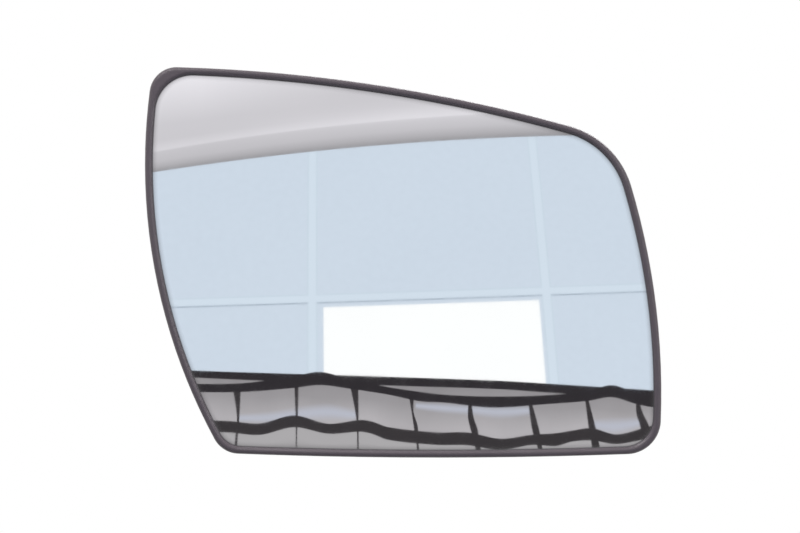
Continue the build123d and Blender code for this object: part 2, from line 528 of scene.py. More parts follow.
@dataclass(frozen=True)
class SilveredGlass:
    """Neutral silvering behind polished glass, faintly cloudy, with painted shade that darkens it to grey
    where the lip stands close.
    """

    tone: Colour = (0.905, 0.905, 0.905)
    cloud_tone: Colour = (0.893, 0.894, 0.896)
    shine_low: float = 0.012
    shine_high: float = 0.024
    cloud_grain: float = 0.03
    film_grain: float = 0.006
    # Painted shade along the lip: its tone, its reach, the occlusion at which it is full, and its samples.
    lip_shade_tone: Colour = (0.125, 0.117, 0.128)
    lip_shade_reach: float = 0.0022
    lip_shade_full: float = 0.73
    lip_shade_samples: int = 32

    def material(self) -> bpy.types.Material:
        """Make the finish. Painted shade darkens the silvering where the lip stands close over it.

        The colour mixes silver and the dark grey of the painted shade by how much the lip occludes the glass,
        and the metallic share is the part of that colour that silver gives.

        Returns:
            The finish.
        """
        board = new_board("silvered_mirror_glass")
        silver = board.blend(board.cloud(self.cloud_grain, Detail.SOFT), self.tone, self.cloud_tone)
        reach = {"Distance": self.lip_shade_reach}
        # Painted shade: occlusion by the lip darkens the silver towards the glass's edge.
        open_sky = board.node("AmbientOcclusion", reach, samples=self.lip_shade_samples).outputs["AO"]
        shaded_share = board.fit(open_sky, (1.0, self.lip_shade_full))
        unshaded_share = board.math("SUBTRACT", 1.0, shaded_share)
        shade_level = self.lip_shade_tone[1] / self.tone[1]
        whole = board.math("MULTIPLY_ADD", shaded_share, shade_level, unshaded_share)
        film = board.noise(self.film_grain, Detail.FINE)
        return board.principled(
            {
                "Base Color": board.blend(shaded_share, silver, self.lip_shade_tone),
                "Roughness": board.spread(film, self.shine_low, self.shine_high),
                "Metallic": board.math("DIVIDE", unshaded_share, whole),
            }
        )


@dataclass(frozen=True)
class HeaterFilm:
    """Amber film over printed heating tracks, on a bed of adhesive."""

    film_tone: Colour = (0.34, 0.15, 0.03)
    adhesive_tone: Colour = (0.42, 0.27, 0.10)
    track_tone: Colour = (0.10, 0.07, 0.045)
    shine_low: float = 0.30
    shine_high: float = 0.46
    shine_grain: float = 0.001
    cloud_grain: float = 0.004
    track_pitch: float = 0.0024
    track_wander: float = 0.4
    track_edge: Span = (0.55, 0.7)
    track_depth: float = 0.00003
    wave_rate: float = 20.0

    def material(self) -> bpy.types.Material:
        """Make the finish. A wave texture turns by its wave rate, in radians, over each unit of length.

        Returns:
            The finish.
        """
        board = new_board("amber_heater_film")
        scale = math.tau / self.wave_rate / self.track_pitch
        inputs = {"Vector": board.coordinates(), "Scale": scale, "Distortion": self.track_wander}
        wave = board.node("TexWave", inputs, bands_direction="Z").outputs["Fac"]
        track = board.fit(wave, self.track_edge)
        bed = board.blend(board.cloud(self.cloud_grain, Detail.FINE), self.film_tone, self.adhesive_tone)
        bump = board.node("Bump", {"Height": track, "Distance": self.track_depth})
        shine = board.noise(self.shine_grain)
        return board.principled(
            {
                "Base Color": board.blend(track, bed, self.track_tone),
                "Roughness": board.spread(shine, self.shine_low, self.shine_high),
                "Normal": bump.outputs["Normal"],
            }
        )


@dataclass(frozen=True)
class StampedBrass:
    """Rolled brass strip, brushed along its rolling lines, a little dull where it has been handled."""

    name: str
    tone: Colour = (0.73, 0.54, 0.25)
    dull_tone: Colour = (0.55, 0.39, 0.18)
    shine_low: float = 0.22
    shine_high: float = 0.40
    line_grain: float = 0.0006
    line_squeeze: Triple = (1.0, 0.06, 1.0)
    line_depth: float = 0.000012
    dull_grain: float = 0.003
    edge_round: float = 0.00012
    edge_samples: int = 6

    def material(self) -> bpy.types.Material:
        """Make the finish.

        Returns:
            The finish.
        """
        board = new_board(self.name)
        soft = board.node("Bevel", {"Radius": self.edge_round}, samples=self.edge_samples).outputs["Normal"]
        lines = board.noise(self.line_grain, Detail.SOFT, self.line_squeeze)
        dull = board.cloud(self.dull_grain, Detail.FINE)
        bump = board.node("Bump", {"Height": lines, "Distance": self.line_depth, "Normal": soft})
        return board.principled(
            {
                "Base Color": board.blend(dull, self.tone, self.dull_tone),
                "Roughness": board.spread(lines, self.shine_low, self.shine_high),
                "Normal": bump.outputs["Normal"],
                "Metallic": 1.0,
            }
        )


@dataclass(frozen=True)
class PaleFloor:
    """Pale matt floor that keeps the part's shadow, fades to white further out and is clear from below."""

    tone: Colour = (0.74, 0.74, 0.735)
    fade: Span = (0.22, 0.55)
    mottle_grain: float = 0.25
    mottle_low: float = 0.985

    def material(self) -> bpy.types.Material:
        """Make the finish.

        Returns:
            The finish.
        """
        board = new_board("pale_matt_floor")
        mottle = board.spread(board.noise(self.mottle_grain), self.mottle_low, 1.0)
        tint = board.node("HueSaturation", {"Value": mottle, "Color": (*self.tone, 1.0)}).outputs["Color"]
        matt = board.node("BsdfDiffuse", {"Color": tint})
        white = board.node("Emission", {"Color": (*WHITE, 1.0), "Strength": 1.0})
        reach = board.node("VectorMath", {0: board.coordinates()}, operation="LENGTH").outputs["Value"]
        far = board.fit(reach, self.fade, way="SMOOTHSTEP")
        above = board.mix(board.math("MULTIPLY", far, board.seen()), matt, white)
        below = board.node("NewGeometry").outputs["Backfacing"]
        return board.finish(board.mix(below, above, board.node("BsdfTransparent")))


@dataclass(frozen=True)
class CardFinish:
    """A card that shines by itself, so that a reflection shows its tone as written.

    Levels of the tone run across the card, from its lower edge to its upper one. Far levels take over
    towards its right-hand end. A card with soft edges fades out towards both long edges.
    """

    name: str
    tone: Colour
    levels: tuple[Level, ...] = ()
    far_levels: tuple[Level, ...] = ()
    far_from: Span = (0.18, 0.55)
    speckle: float = 0.0
    speckle_grain: float = 0.01
    soft_edges: bool = False
    edge_fade: Span = (0.15, 0.4)
    mirror_gain: float = 1.11

    def graded(self, board: MaterialBoard, across: Socket, levels: Sequence[Level]) -> Socket:
        """Grade the tone across the card.

        Args:
            board: The material's nodes.
            across: The share of the way across.
            levels: Places from 0 to 1, with the tone's level at each.

        Returns:
            The graded tone.
        """
        stops = [(place, tuple(level * part for part in self.tone)) for place, level in levels]
        return board.ramp(across, stops)

    def material(self) -> bpy.types.Material:
        """Make the finish.

        Returns:
            The finish.
        """
        board = new_board(self.name)
        tone: Any = (*self.tone, 1.0)
        place = board.node("SeparateXYZ", {"Vector": board.coordinates("UV")}).outputs
        if self.levels:
            tone = self.graded(board, place["Y"], self.levels)
        if self.far_levels:
            share = board.fit(place["X"], self.far_from)
            tone = board.blend(share, tone, self.graded(board, place["Y"], self.far_levels))
        strength: Any = self.mirror_gain
        if self.speckle:
            speck = board.noise(self.speckle_grain, Detail.FINEST)
            low, high = self.mirror_gain * (1.0 - self.speckle), self.mirror_gain * (1.0 + self.speckle)
            strength = board.spread(speck, low, high)
        light = board.node("Emission", {"Color": tone, "Strength": strength})
        if not self.soft_edges:
            return board.finish(light)
        clear, full = self.edge_fade
        rise = [(0.0, BLACK), (clear, BLACK), (full, WHITE)]
        fall = [(1.0 - at, level) for at, level in reversed(rise)]
        cover = board.ramp(place["Y"], rise + fall, "B_SPLINE")
        return board.finish(board.mix(cover, board.node("BsdfTransparent"), light))


@dataclass
class MirrorGlass:
    """The convex mirror: a cap of a sphere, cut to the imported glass's outline and its ground edges."""

    node: str = "mirror_glass"
    name: str = "convex_mirror"
    curve_radius: float = 1.3
    thickness: float = 0.002
    cell: float = 0.0024
    overhang: float = 0.006
    cutter_reach: float = 0.03
    cutter_lead: float = 0.00005
    weld: float = 0.000002
    face_turn: float = 0.9
    front_turn: float = 0.999
    smooth_angle: float = math.radians(20.0)
    finish: SilveredGlass = field(default_factory=SilveredGlass)

    def centre(self) -> Vector:
        """Centre of the sphere that the front of the mirror lies on."""
        return Vector((0.0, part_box(self.node)[0].y + self.curve_radius, 0.0))

    def cap(self) -> bpy.types.Object:
        """Model the cap: a grid cast on the sphere and thickened towards its centre.

        Returns:
            The cap, larger than the glass all round.
        """
        low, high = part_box(self.node)
        width = 2 * (max(-low.x, high.x) + self.overhang)
        height = 2 * (max(-low.z, high.z) + self.overhang)
        cap = unit_grid(self.name, round(width / self.cell), round(height / self.cell))
        with editing(cap):
            bpy.ops.mesh.select_all(action="SELECT")
            bpy.ops.transform.resize(value=(width, height, 1.0), center_override=ORIGIN)
            bpy.ops.transform.translate(value=(0.0, 0.0, self.curve_radius))
        shape_with(cap, "CAST", factor=1.0, use_radius_as_size=False, size=self.curve_radius)
        cap.rotation_euler.x = math.pi / 2
        cap.location = self.centre()
        settle(cap)
        shape_with(cap, "SOLIDIFY", thickness=self.thickness, offset=-1.0, use_even_offset=True)
        return cap

    def run_on(self, prism: bpy.types.Object, side: float) -> None:
        """Run an open end of the prism on past the glass and close it.

        It goes on a little way along the slope of the ground edge, and then straight.

        Args:
            prism: The prism in edit mode.
            side: -1 for the end in front of the glass, and 1 for the one behind it.
        """
        centre = self.centre()
        middle = self.curve_radius - self.thickness / 2
        draw_in = 1.0 - self.cutter_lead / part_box(self.node)[1].x
        flat = (0.0, centre.y - self.curve_radius + side * self.cutter_reach, 0.0)
        pick_open_edges(prism, lambda at: ((at - centre).length < middle) == (side > 0))
        bpy.ops.mesh.extrude_edges_move()
        bpy.ops.transform.resize(value=(draw_in, 1.0, draw_in), center_override=ORIGIN)
        bpy.ops.transform.translate(value=(0.0, side * self.cutter_lead, 0.0))
        bpy.ops.mesh.extrude_edges_move()
        bpy.ops.transform.resize(value=(1.0, 0.0, 1.0), center_override=flat)
        bpy.ops.mesh.edge_face_add()

    def cutter(self, node: bpy.types.Object) -> bpy.types.Object:
        """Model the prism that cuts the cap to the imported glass's edge, from the glass's own edge faces.

        Args:
            node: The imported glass.

        Returns:
            The closed prism.
        """
        prism = bpy.data.objects.new("outline_cutter", node.data.copy())
        bpy.context.collection.objects.link(prism)
        with editing(prism):
            bpy.ops.mesh.select_all(action="SELECT")
            bpy.ops.mesh.remove_doubles(threshold=self.weld)
            pick_faces(prism, lambda face: abs(face.normal.y) > self.face_turn)
            bpy.ops.mesh.delete(type="FACE")
            self.run_on(prism, -1.0)
            self.run_on(prism, 1.0)
            bpy.ops.mesh.select_all(action="SELECT")
            bpy.ops.mesh.normals_make_consistent(inside=False)
        return prism

    def round_normals(self, glass: bpy.types.Object) -> None:
        """Turn the shading of the front straight out from the sphere's centre, right up to the cut edge.

        Args:
            glass: The cut mirror.
        """
        centre = self.centre()
        mesh = glass.data
        normals = [corner.vector.copy() for corner in mesh.corner_normals]
        for face in mesh.polygons:
            outwards = (face.center - centre).normalized()
            if face.normal.dot(outwards) > self.front_turn:
                for loop in face.loop_indices:
                    corner = mesh.vertices[mesh.loops[loop].vertex_index].co
                    normals[loop] = (corner - centre).normalized()
        mesh.normals_split_custom_set(normals)

    def build(self, nodes: dict[str, bpy.types.Object]) -> list[bpy.types.Object]:
        """Model the mirror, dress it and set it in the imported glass's place.

        Args:
            nodes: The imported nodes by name.

        Returns:
            The mirror alone, in a list.
        """
        glass = self.cap()
        cutter = self.cutter(nodes[self.node])
        shape_with(glass, "BOOLEAN", operation="INTERSECT", solver="EXACT", object=cutter)
        bpy.data.objects.remove(cutter)
        with editing(glass):
            bpy.ops.mesh.select_all(action="SELECT")
            bpy.ops.mesh.remove_doubles(threshold=self.weld)
            bpy.ops.mesh.dissolve_degenerate(threshold=self.weld)
        bpy.ops.object.shade_smooth_by_angle(angle=self.smooth_angle)
        self.round_normals(glass)
        dress(glass, self.finish.material())
        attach(glass, BODY)
        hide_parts(self.node)
        return [glass]


@dataclass
class BackingPlate:
    """The moulded plate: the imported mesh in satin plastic, and the marks of its mould's pins and gate."""

    node: str = "backing_plate"
    marks_name: str = "mould_marks"
    floor_radius: float = 1.2952
    mark_radius: float = 0.0023
    mark_sides: int = 40
    mark_height: float = 0.00014
    mark_dish: float = 0.00008
    mark_lip: float = 0.00024
    mark_edge: float = 0.00006
    mark_edge_steps: int = 2
    top_turn: float = 0.9
    smooth_angle: float = math.radians(40.0)
    inner_marks: int = 8
    inner_ring: float = 0.0468
    outer_marks_mm: tuple[Place, ...] = (
        (35.0, 53.0),
        (78.0, 22.0),
        (84.0, -32.0),
        (45.0, -60.0),
        (-28.0, -60.0),
        (-73.0, -22.0),
        (-83.0, 38.0),
        (-40.0, 65.0),
    )
    finish: MouldedPlastic = field(default_factory=MouldedPlastic)

    def mark(self) -> bpy.types.Object:
        """Model one pin mark: a low disc, dished on top, half sunk at the origin and facing +Z.

        Returns:
            The mark.
        """
        bpy.ops.object.select_all(action="DESELECT")
        bpy.ops.mesh.primitive_cylinder_add(
            vertices=self.mark_sides, radius=self.mark_radius, depth=2 * self.mark_height
        )
        mark = bpy.context.active_object
        with editing(mark):
            pick_faces(mark, lambda face: face.normal.z > self.top_turn)
            bpy.ops.mesh.inset(thickness=self.mark_lip)
            bpy.ops.transform.translate(value=(0.0, 0.0, -self.mark_dish))
        shape_with(mark, "BEVEL", width=self.mark_edge, segments=self.mark_edge_steps, limit_method="ANGLE")
        return mark

    def mark_places(self) -> list[Place]:
        """Find where the marks lie in the front view.

        Returns:
            The gate's in the middle, those of a ring round it, and those further out.
        """
        step = math.tau / self.inner_marks
        turns = [step * (i + 0.5) for i in range(self.inner_marks)]
        ring = [(self.inner_ring * math.cos(turn), self.inner_ring * math.sin(turn)) for turn in turns]
        outer = [(x * MILLIMETRE, z * MILLIMETRE) for x, z in self.outer_marks_mm]
        return [(0.0, 0.0), *ring, *outer]

    def marks(self, centre: Vector) -> bpy.types.Object:
        """Copy the mark to each of its places on the back of the floor, and join the copies.

        Args:
            centre: Centre of the spheres that the plate follows.

        Returns:
            All marks as one piece.
        """
        pattern = self.mark()
        copies = []
        for x, z in self.mark_places():
            seat = Vector((x, centre.y - math.sqrt(self.floor_radius**2 - x**2 - z**2), z))
            copy = pattern.copy()
            copy.data = pattern.data.copy()
            bpy.context.collection.objects.link(copy)
            turn = (centre - seat).to_track_quat("Z", "Y").to_matrix().to_4x4()
            copy.matrix_world = Matrix.Translation(seat) @ turn
            settle(copy)
            copies.append(copy)
        bpy.data.objects.remove(pattern)
        take_up(copies[0])
        for copy in copies:
            copy.select_set(True)
        bpy.ops.object.join()
        joined = bpy.context.active_object
        joined.name = self.marks_name
        bpy.ops.object.shade_smooth_by_angle(angle=self.smooth_angle)
        return joined

    def build(self, nodes: dict[str, bpy.types.Object], centre: Vector) -> list[bpy.types.Object]:
        """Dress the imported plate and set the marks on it.

        Args:
            nodes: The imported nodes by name.
            centre: Centre of the spheres that the plate follows.

        Returns:
            The plate and its marks.
        """
        plastic = self.finish.material(centre)
        plate = nodes[self.node]
        marks = self.marks(centre)
        dress(plate, plastic)
        dress(marks, plastic)
        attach(marks, BODY)
        return [plate, marks]


@dataclass
class HeaterSet:
    """Heater film, the two blade terminals on it and the eyelets that rivet them, in their finishes."""

    film_node: str = "heater_pad"
    terminal_nodes: tuple[str, ...] = ("terminal_upper", "terminal_lower")
    eyelet_node: str = "terminal_eyelets"
    film: HeaterFilm = field(default_factory=HeaterFilm)
    strip: StampedBrass = field(default_factory=lambda: StampedBrass("stamped_terminal_brass"))
    eyelet: StampedBrass = field(
        default_factory=lambda: StampedBrass("clinched_eyelet_brass", (0.69, 0.50, 0.24), line_grain=0.0012)
    )

    def build(self, nodes: dict[str, bpy.types.Object]) -> list[bpy.types.Object]:
        """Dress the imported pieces.

        Args:
            nodes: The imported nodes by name.

        Returns:
            The dressed pieces.
        """
        strip = self.strip.material()
        finishes = {self.film_node: self.film.material(), self.eyelet_node: self.eyelet.material()}
        finishes.update({name: strip for name in self.terminal_nodes})
        for name, finish in finishes.items():
            dress(nodes[name], finish)
        return [nodes[name] for name in finishes]


@dataclass(frozen=True)
class FrontView:
    """The camera, straight in front of the mirror, and where it sees things in the glass."""

    distance: float = 2.0
    right: float = 0.001
    up: float = 0.0024
    frame_width: float = 0.3059
    rim_plane: float = -0.012
    sensor_width: float = 36.0

    def eye(self) -> Vector:
        """Where the camera stands."""
        return Vector((self.right, -self.distance, self.up))

    def build(self) -> bpy.types.Object:
        """Set the camera up.

        Returns:
            The scene's camera.
        """
        bpy.ops.object.camera_add(location=self.eye(), rotation=(math.pi / 2, 0.0, 0.0))
        camera = bpy.context.active_object
        camera.name = "front_camera"
        camera.data.sensor_width = self.sensor_width
        camera.data.lens = self.sensor_width * (self.distance + self.rim_plane) / self.frame_width
        bpy.context.scene.camera = camera
        return camera

    def thrown(self, x_mm: float, z_mm: float, away: float, glass: MirrorGlass) -> Vector:
        """Follow the camera's sight off the mirror to an upright plane in front of it.

        Args:
            x_mm: Where it meets the glass, millimetres to the right of the part's axis.
            z_mm: Likewise, millimetres above the axis.
            away: How far in front of the origin the plane stands.
            glass: The mirror.

        Returns:
            Where the sight meets the plane.
        """
        centre = glass.centre()
        x, z = x_mm * MILLIMETRE, z_mm * MILLIMETRE
        spot = Vector((x, centre.y - math.sqrt(glass.curve_radius**2 - x**2 - z**2), z))
        normal = (spot - centre).normalized()
        sight = (spot - self.eye()).normalized()
        bounced = sight - 2 * sight.dot(normal) * normal
        return spot + bounced * ((-away - spot.y) / bounced.y)


@dataclass(frozen=True)
class Strip:
    """A strip of a card, laid out by where the camera sees it in the glass.

    Each knot holds the place along the strip, the place of its middle line across it, and half its width, in
    millimetres from the part's axis.
    """

    run: Run
    knots: tuple[Knot, ...]
    away: float
    pieces: int = 1

    def spot(self, along: float, across: float) -> Place:
        """Find where a point of the strip shows in the glass.

        Args:
            along: Its share of the way along the strip.
            across: Its share of the way across.

        Returns:
            Its place in the glass, in millimetres.
        """
        start, end = self.knots[0][0], self.knots[-1][0]
        at = start + along * (end - start)
        middle, half = smooth_through(self.knots, at)
        off = middle + (2 * across - 1) * half
        return (at, off) if self.run is Run.ACROSS else (off, at)

    def build(self, name: str, view: FrontView, glass: MirrorGlass) -> bpy.types.Object:
        """Lay the strip on its plane.

        Args:
            name: The new object's name.
            view: The camera that sees it.
            glass: The mirror that it shows in.

        Returns:
            The strip.
        """
        return bent_grid(name, self.pieces, 1, lambda u, v: view.thrown(*self.spot(u, v), self.away, glass))


def reflections_only(card: bpy.types.Object) -> None:
    """Let only glossy surfaces show a card: it lights nothing and shades nothing.

    Args:
        card: The card.
    """
    card.visible_camera = False
    card.visible_diffuse = False
    card.visible_transmission = False
    card.visible_shadow = False
    card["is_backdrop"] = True


@dataclass
class PanelWall:
    """A wide wall of pale blue panels between narrow bars, one of the panels lit, behind the camera.

    Its tones are in the order of the wall's parts.
    """

    pitch: float = 0.6187
    columns: int = 18
    rows: int = 14
    bar: float = 0.02
    line: float = 0.004
    lit_border: float = 0.0113
    lit_shift: float = 0.0043
    head_from: float = 0.9
    corner: Triple = (-0.2261, -2.9, -0.0726)
    lean: float = math.radians(27.0)
    roll: float = math.radians(1.9)
    tones: tuple[CardFinish, ...] = (
        CardFinish("wall_bar", (0.645, 0.738, 0.831)),
        # The wall line is painted shade: a faint darker ring beside the bars.
        CardFinish("wall_line", (0.584, 0.680, 0.766)),
        CardFinish("wall_panel", (0.610, 0.694, 0.791), speckle=0.012, speckle_grain=0.02),
        CardFinish("wall_shadow_line", (0.37, 0.44, 0.52)),
        CardFinish("lit_panel", (0.985, 1.0, 1.0)),
    )

    def is_head_line(self, face: bmesh.types.BMFace) -> bool:
        """Tell whether a face is the line along the top of a cell, where the bar above shades it.

        Args:
            face: A face of the wall.

        Returns:
            True if it is.
        """
        height = face.calc_center_median().y / self.pitch
        is_line = face.material_index == WallPart.LINE.value
        return is_line and height - math.floor(height) > self.head_from

    def is_lit(self, face: bmesh.types.BMFace) -> bool:
        """Tell whether a face is the lit panel: the one below and to the right of the wall's origin.

        Args:
            face: A face of the wall.

        Returns:
            True if it is.
        """
        middle = Vector((self.pitch / 2, -self.pitch / 2, 0.0))
        is_panel = face.material_index == WallPart.PANEL.value
        return is_panel and (face.calc_center_median() - middle).length < self.bar

    def build(self) -> bpy.types.Object:
        """Model the wall: a grid of cells, each inset for its bar and its line, one of them lit.

        Returns:
            The wall.
        """
        wall = unit_grid("panel_wall", self.columns, self.rows)
        for finish in self.tones:
            wall.data.materials.append(finish.material())
        with editing(wall):
            bpy.ops.mesh.select_all(action="SELECT")
            size = (self.columns * self.pitch, self.rows * self.pitch, 1.0)
            bpy.ops.transform.resize(value=size, center_override=ORIGIN)
            for part, width in ((WallPart.LINE, self.bar / 2), (WallPart.PANEL, self.line)):
                bpy.ops.mesh.inset(thickness=width, use_individual=True)
                paint_picked(wall, part.value)
            pick_faces(wall, self.is_head_line)
            paint_picked(wall, WallPart.SHADOW_LINE.value)
            pick_faces(wall, self.is_lit)
            bpy.ops.mesh.inset(thickness=self.lit_border)
            bpy.ops.transform.translate(value=(self.lit_shift, 0.0, 0.0))
            paint_picked(wall, WallPart.LIT_PANEL.value)
        right = Vector((math.cos(self.roll), 0.0, math.sin(self.roll)))
        upright = Vector((-math.sin(self.roll), 0.0, math.cos(self.roll)))
        up = math.cos(self.lean) * upright + math.sin(self.lean) * Vector((0.0, -1.0, 0.0))
        turned = Matrix((right, up, right.cross(up))).transposed().to_4x4()
        wall.matrix_world = Matrix.Translation(Vector(self.corner)) @ turned
        reflections_only(wall)
        return wall


@dataclass
class PaperSweep:
    """A sheet of grey-white paper, folded once, that shows along the top of the mirror. The card lies flat,
    and the light and shade of the fold are painted on it.
    """

    away: float = 0.7
    left_mm: float = -115.0
    right_mm: float = 110.0
    edge_top_mm: Place = (92.0, 52.8)
    edge_curve_mm: float = 1200.0
    fold_top_mm: Place = (85.0, 62.1)
    fold_curve_mm: float = 1000.0
    top_mm: float = 96.0
    columns: int = 48
    rows: int = 2
    # Painted light and shade: darker towards the lower edge, with a bright line at the fold half way across.
    finish: CardFinish = CardFinish(
        "folded_paper",
        (1.0, 0.982, 1.032),
        (
            (0.0, 0.31),
            (0.12, 0.44),
            (0.25, 0.53),
            (0.49, 0.575),
            (0.503, 0.68),
            (0.54, 0.60),
            (0.60, 0.61),
            (0.69, 0.715),
            (0.77, 0.81),
        ),
        (
            (0.0, 0.31),
            (0.11, 0.43),
            (0.27, 0.55),
            (0.44, 0.61),
            (0.49, 0.65),
            (0.503, 0.745),
            (0.525, 0.71),
            (0.57, 0.63),
            (0.65, 0.57),
        ),
    )

    def spot(self, along: float, across: float) -> Place:
        """Find where a point of the sheet shows in the glass. The fold lies half way across.

        Args:
            along: Its share of the way along the sheet.
            across: Its share of the way across.

        Returns:
            Its place in the glass, in millimetres.
        """
        x = self.left_mm + along * (self.right_mm - self.left_mm)
        edge = self.edge_top_mm[1] - (x - self.edge_top_mm[0]) ** 2 / (2 * self.edge_curve_mm)
        fold = self.fold_top_mm[1] - (x - self.fold_top_mm[0]) ** 2 / (2 * self.fold_curve_mm)
        if across < 0.5:
            return x, edge + 2 * across * (fold - edge)
        return x, fold + (2 * across - 1) * (self.top_mm - fold)

    def build(self, view: FrontView, glass: MirrorGlass) -> bpy.types.Object:
        """Lay the sheet where the camera sees it in the glass.

        Args:
            view: The camera that sees it.
            glass: The mirror that it shows in.

        Returns:
            The sheet.
        """
        sheet = bent_grid(
            "paper_sweep",
            self.columns,
            self.rows,
            lambda u, v: view.thrown(*self.spot(u, v), self.away, glass),
        )
        sheet.data.materials.append(self.finish.material())
        reflections_only(sheet)
        return sheet


@dataclass
class ClothGrid:
    """A light's cloth grid along the bottom of the mirror: a straight band, two slack ones, cross strips."""

    away: float = 0.45
    layer: float = 0.0015
    band_mm: tuple[Knot, ...] = (
        (-97.0, -38.0, 1.2),
        (-58.6, -39.5, 1.45),
        (-3.6, -41.4, 1.65),
        (39.3, -42.9, 1.6),
        (57.6, -44.1, 1.7),
        (110.0, -47.4, 1.6),
    )
    upper_mm: tuple[Knot, ...] = (
        (-97.0, -43.7, 1.6),
        (-61.7, -44.0, 1.65),
        (-40.3, -41.9, 2.2),
        (-29.6, -40.4, 2.5),
        (-18.9, -42.3, 1.9),
        (-3.6, -45.1, 1.45),
        (8.7, -47.3, 1.8),
        (17.9, -48.1, 1.5),
        (36.2, -49.4, 2.1),
        (57.6, -48.5, 1.7),
        (72.9, -47.1, 1.9),
        (82.1, -45.3, 2.3),
        (91.3, -48.1, 2.1),
        (97.4, -49.5, 1.9),
        (110.0, -50.3, 1.8),
    )
    lower_mm: tuple[Knot, ...] = (
        (-97.0, -58.2, 2.3),
        (-64.7, -58.9, 2.2),
        (-52.5, -59.8, 2.2),
        (-39.5, -56.8, 2.25),
        (-26.5, -59.6, 1.9),
        (-14.3, -58.5, 2.25),
        (-9.7, -59.2, 2.35),
        (-3.6, -61.4, 2.45),
        (14.8, -63.4, 2.4),
        (27.0, -63.5, 2.45),
        (39.3, -65.6, 2.15),
        (51.5, -63.9, 1.95),
        (60.7, -63.8, 2.45),
        (66.8, -62.5, 2.1),
        (74.4, -61.8, 2.35),
        (84.0, -63.7, 1.85),
        (97.4, -60.9, 2.3),
        (110.0, -59.0, 2.3),
    )
    sheens_mm: tuple[tuple[Knot, ...], ...] = (
        ((-60.5, -55.6, 2.2), (-49.4, -55.4, 3.0), (-27.6, -53.2, 4.2), (-16.0, -54.4, 3.0)),
        ((7.0, -50.8, 1.8), (16.3, -51.6, 2.6), (27.8, -52.4, 2.8), (39.3, -53.2, 3.4), (51.6, -52.6, 2.6)),
        ((74.6, -58.2, 2.8), (83.2, -58.8, 4.4), (93.0, -57.4, 2.8)),
    )
    crosses_mm: tuple[tuple[Knot, ...], ...] = (
        ((-78.0, -62.3, 0.45), (-64.7, -61.7, 0.46), (-55.5, -60.9, 0.46), (-44.0, -61.4, 1.5)),
        ((-78.0, -38.7, 0.25), (-62.0, -38.6, 0.25), (-54.0, -38.5, 0.44), (-41.6, -38.6, 0.85)),
        ((-78.0, -15.1, 0.35), (-64.0, -15.1, 0.3), (-55.5, -15.3, 0.44), (-43.0, -16.5, 1.55)),
        ((-78.0, 8.2, 0.42), (-66.3, 7.8, 0.42), (-58.6, 7.0, 0.77), (-53.2, 5.8, 0.38), (-46.8, 5.4, 1.0)),
        ((-78.0, 33.0, 0.3), (-60.1, 29.4, 1.34), (-55.5, 28.1, 1.09), (-49.3, 27.7, 0.6)),
        ((-78.0, 56.5, 0.9), (-66.3, 54.4, 0.92), (-60.1, 52.9, 1.36), (-49.0, 50.6, 0.6)),
        ((-78.0, 77.5, 1.5), (-66.3, 75.9, 1.5), (-58.6, 74.4, 1.28), (-47.2, 72.2, 0.55)),
        ((-78.0, 98.0, 1.6), (-58.6, 94.6, 1.7), (-54.0, 92.8, 1.28), (-48.4, 91.8, 0.5)),
    )
    foot_mm: float = -78.0
    frame_half_mm: float = 2.0
    cell_pieces: int = 80
    band_pieces: int = 120
    slack_pieces: int = 160
    sheen_pieces: int = 60
    cross_pieces: int = 24
    foot_pieces: int = 20
    side_pieces: int = 8
    cloth: CardFinish = CardFinish("grid_cloth", (0.031, 0.028, 0.032))
    slack_cloth: CardFinish = CardFinish("grid_slack_cloth", (0.042, 0.038, 0.041))
    sheen: CardFinish = CardFinish("grid_sheen", (0.475, 0.495, 0.57), soft_edges=True)
    # Painted shade: the diffuser darkens towards the band above each cell.
    cell: CardFinish = CardFinish(
        "grid_diffuser",
        (1.0, 0.965, 1.005),
        ((0.0, 0.46), (0.2, 0.44), (0.4, 0.385), (0.6, 0.325), (0.8, 0.305), (1.0, 0.27)),
        speckle=0.05,
        speckle_grain=0.04,
    )
    # The lower diffuser is darker towards the foot.
    lower_cell: CardFinish = CardFinish(
        "grid_lower_diffuser", (1.0, 0.975, 1.0), ((0.0, 0.15), (0.5, 0.34), (0.68, 0.41), (1.0, 0.41))
    )

    def strip(self, run: Run, knots: Sequence[Knot], layer: Layer, pieces: int) -> Strip:
        """A strip of one of the grid's layers."""
        return Strip(run, tuple(knots), self.away + layer.value * self.layer, pieces)

    def between(self, upper: Sequence[Knot], lower: Sequence[Knot]) -> Strip:
        """Lay out the diffuser between the middle lines of two bands.

        Args:
            upper: The upper band's knots.
            lower: The lower band's knots.

        Returns:
            The diffuser.
        """
        knots = []
        for x, low, _ in lower:
            high = smooth_through(upper, x)[0]
            knots.append((x, (high + low) / 2, (high - low) / 2))
        return self.strip(Run.ACROSS, knots, Layer.CELL, self.cell_pieces)

    def frame_strips(self) -> list[Strip]:
        """Lay out the frame that ends the grid.

        Returns:
            Its foot and its two sides.
        """
        ends = (self.band_mm[0], self.band_mm[-1])
        half = self.frame_half_mm
        foot = [(end[0], self.foot_mm, half) for end in ends]
        sides = [((self.foot_mm, end[0], half), (end[1], end[0], half)) for end in ends]
        strips = [self.strip(Run.ACROSS, foot, Layer.BAND, self.foot_pieces)]
        return strips + [self.strip(Run.UPRIGHT, side, Layer.BAND, self.side_pieces) for side in sides]

